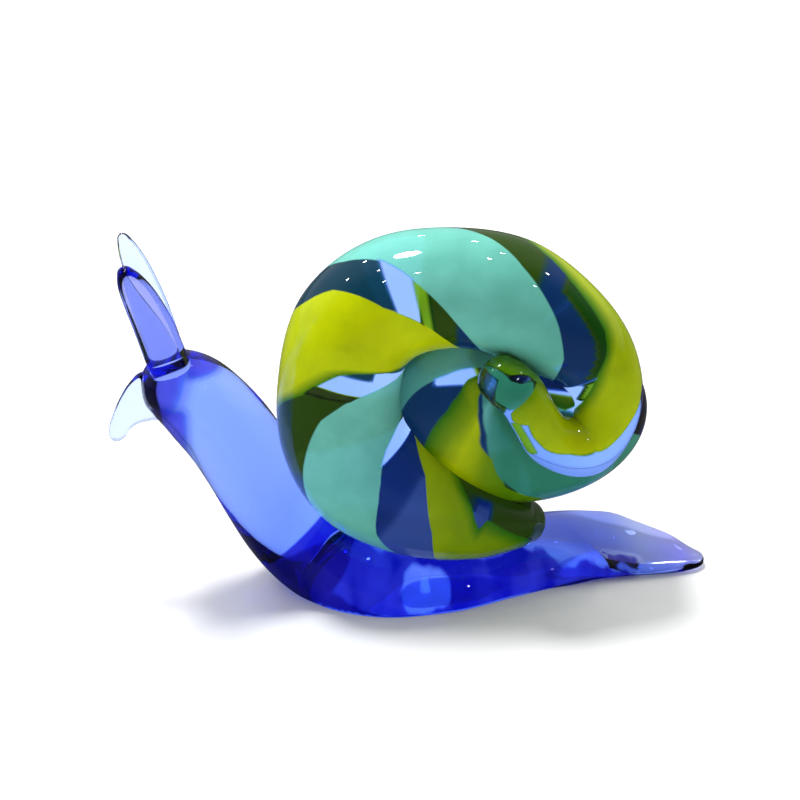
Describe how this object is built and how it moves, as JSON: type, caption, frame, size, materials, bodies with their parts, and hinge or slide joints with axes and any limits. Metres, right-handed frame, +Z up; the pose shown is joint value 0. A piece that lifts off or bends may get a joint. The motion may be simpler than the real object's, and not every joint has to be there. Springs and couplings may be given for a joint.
{
  "type": "glass snail figurine",
  "caption": "Solid lampworked glass snail ornament: a pulled foot, neck and tail, flattened feelers, a pinched mouth flap, and a shell wound from a striped cane over a domed hub.",
  "frame": {"origin": "under the middle of the bounding box, on the flat of the foot that the figurine stands on", "axes": "+X runs from the head to the tail, +Z is up, -Y is the side that shows the thin tip of the coil, which is the snail's left"},
  "size_m": [0.0734, 0.0242, 0.0473],
  "materials": {
    "cobalt_glass": "fire-polished periwinkle to cobalt blue soda-lime glass, deeper where it is thicker",
    "pale_glass": "fire-polished thin glass, almost colourless",
    "clear_glass": "fire-polished clear glass with a blue cast",
    "turquoise_glass": "opaque turquoise glass stripe, fused in and fire-polished",
    "chartreuse_glass": "opaque chartreuse glass stripe, fused in and fire-polished"
  },
  "bodies": {
    "root": {"body": "cobalt_glass", "left_feeler": "cobalt_glass", "right_feeler": "pale_glass", "mouth_flap": "pale_glass", "shell_cane": "clear_glass", "shell_cane_turquoise_stripe": "turquoise_glass", "shell_cane_chartreuse_stripe": "chartreuse_glass", "shell_hub": "clear_glass", "shell_hub_turquoise_stripe_left": "turquoise_glass", "shell_hub_turquoise_stripe_right": "turquoise_glass", "shell_hub_chartreuse_stripe_left": "chartreuse_glass", "shell_hub_chartreuse_stripe_right": "chartreuse_glass"}
  },
  "joints": []
}
